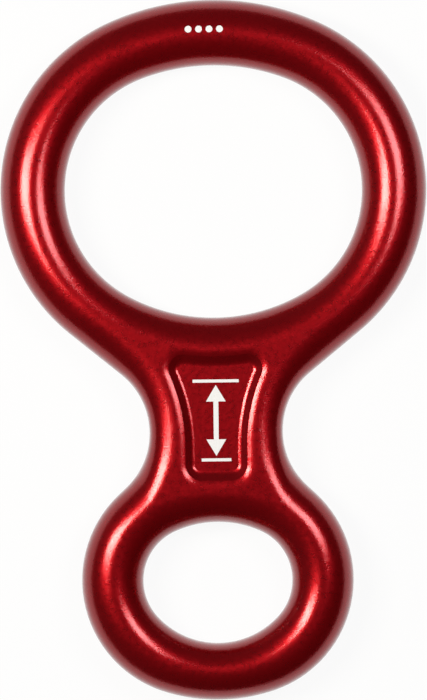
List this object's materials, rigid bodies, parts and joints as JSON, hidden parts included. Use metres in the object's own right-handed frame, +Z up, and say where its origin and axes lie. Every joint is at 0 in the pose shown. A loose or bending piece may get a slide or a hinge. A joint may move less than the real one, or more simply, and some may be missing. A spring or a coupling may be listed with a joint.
{
  "type": "figure eight descender",
  "caption": "Forged figure eight descender with a large rope ring, a small carabiner ring and a flat neck web with a sunk marking pad on each face.",
  "frame": {"origin": "middle of the length and width, at the underside that it lies on", "axes": "+X along the width, +Y along the length towards the large rope ring, +Z up through the thickness"},
  "size_m": [0.0778, 0.128, 0.012],
  "materials": {
    "red_anodised_alloy": "red anodised, satin"
  },
  "bodies": {
    "root": {"forged_body": "red_anodised_alloy"}
  },
  "joints": []
}
